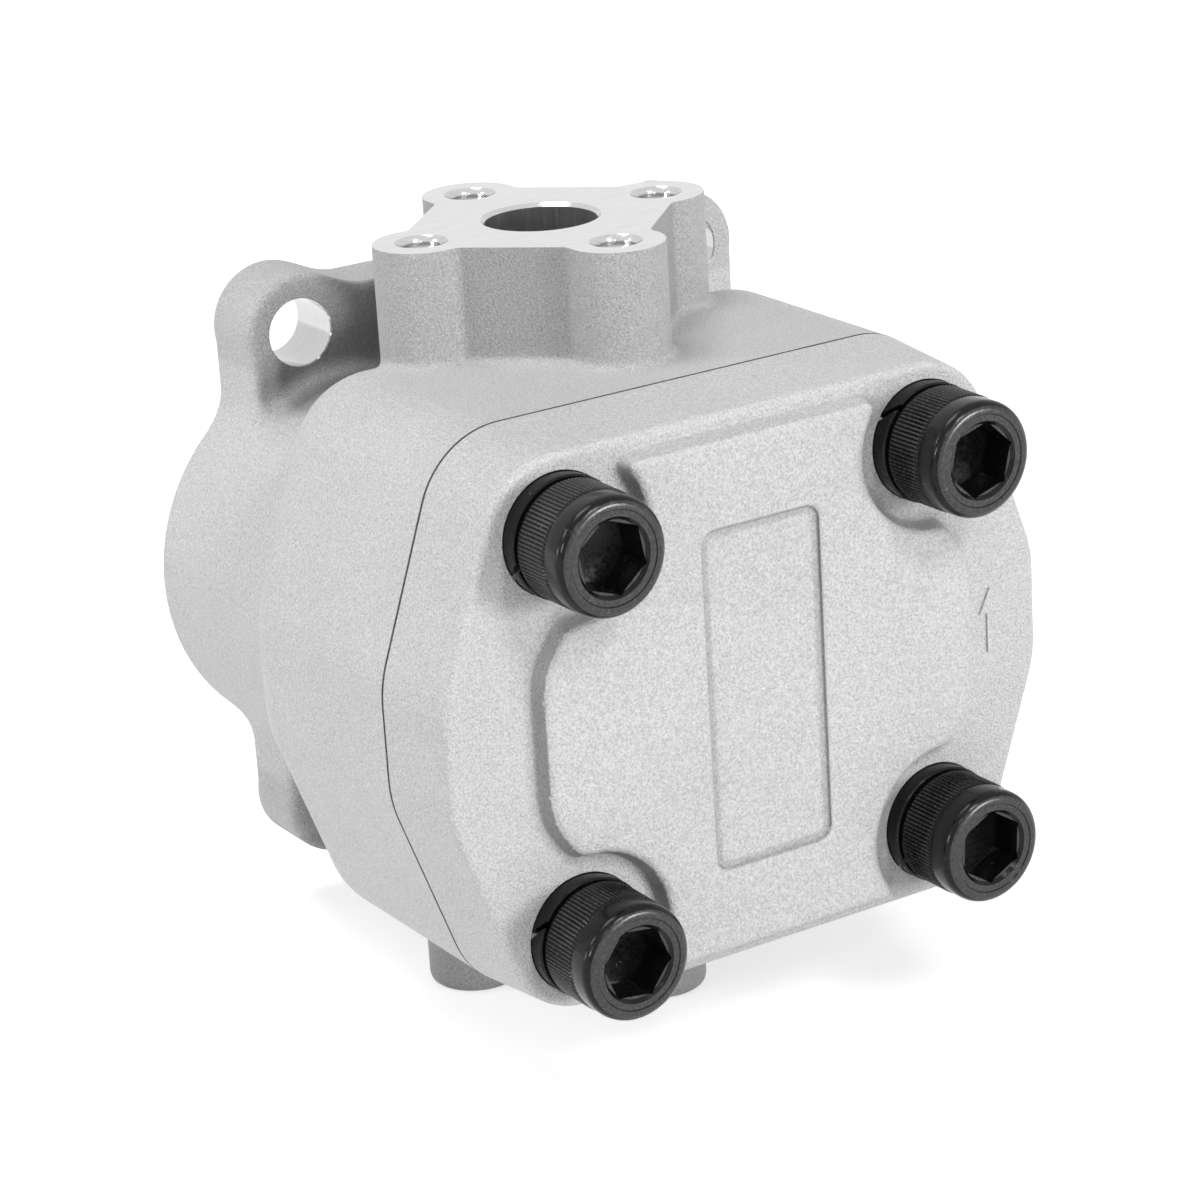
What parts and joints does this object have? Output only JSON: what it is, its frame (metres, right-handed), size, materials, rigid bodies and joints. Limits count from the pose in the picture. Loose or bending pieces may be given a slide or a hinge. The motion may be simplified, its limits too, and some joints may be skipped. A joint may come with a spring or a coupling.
{
  "type": "external gear pump",
  "caption": "Flange-mounted aluminium gear pump for truck and tractor hydraulics, with lobed port bosses, a raised-panel end cover and a meshing gear pair inside.",
  "frame": {"origin": "on the drive shaft's axis, in the plane of the mounting face", "axes": "+Y along the drive shaft, out of the pump; +Z towards the upper port; the driven gear lies at negative X"},
  "size_m": [0.1144, 0.152, 0.121],
  "materials": {
    "cast_aluminium": "shot-blasted casting, satin and finely grained",
    "black_oxide_steel": "black oxide, satin",
    "gear_steel": "ground",
    "block_aluminium": "machined",
    "bush_bronze": "plain bearing bronze",
    "seal_rubber": "matt",
    "backup_plastic": "natural",
    "pressed_steel": "pressed sheet",
    "spring_steel": "phosphated"
  },
  "bodies": {
    "housing": {"pump_body": "cast_aluminium", "end_cover": "cast_aluminium", "cover_screw_upper_left": "black_oxide_steel", "cover_screw_upper_right": "black_oxide_steel", "cover_screw_lower_left": "black_oxide_steel", "cover_screw_lower_right": "black_oxide_steel", "lock_washer_upper_left": "black_oxide_steel", "lock_washer_upper_right": "black_oxide_steel", "lock_washer_lower_left": "black_oxide_steel", "lock_washer_lower_right": "black_oxide_steel", "cover_end_bearing_block": "block_aluminium", "flange_end_bearing_block": "block_aluminium", "cover_end_drive_bush": "bush_bronze", "cover_end_driven_bush": "bush_bronze", "flange_end_drive_bush": "bush_bronze", "flange_end_driven_bush": "bush_bronze", "cover_end_pressure_seal": "seal_rubber", "flange_end_pressure_seal": "seal_rubber", "cover_end_backup_ring": "backup_plastic", "flange_end_backup_ring": "backup_plastic", "cover_seal": "seal_rubber", "dowel_pin_left": "gear_steel", "dowel_pin_right": "gear_steel", "shaft_seal_case": "pressed_steel", "shaft_seal_lip": "seal_rubber", "garter_spring": "spring_steel", "seal_retaining_ring": "spring_steel", "pilot_o_ring": "seal_rubber"},
    "drive_rotor": {"drive_gear_shaft": "gear_steel"},
    "driven_rotor": {"driven_gear_shaft": "gear_steel"}
  },
  "joints": [
    {"name": "drive_spin", "type": "hinge", "parent": "housing", "child": "drive_rotor", "pos_m": [0, 0, 0], "axis": [0, 1, 0], "continuous": true},
    {"name": "driven_spin", "type": "hinge", "parent": "housing", "child": "driven_rotor", "pos_m": [-0.0275, 0, 0], "axis": [0, 1, 0], "continuous": true}
  ],
  "couplings": [
    {"joint": "driven_spin", "follows": "drive_spin", "ratio": -1}
  ]
}
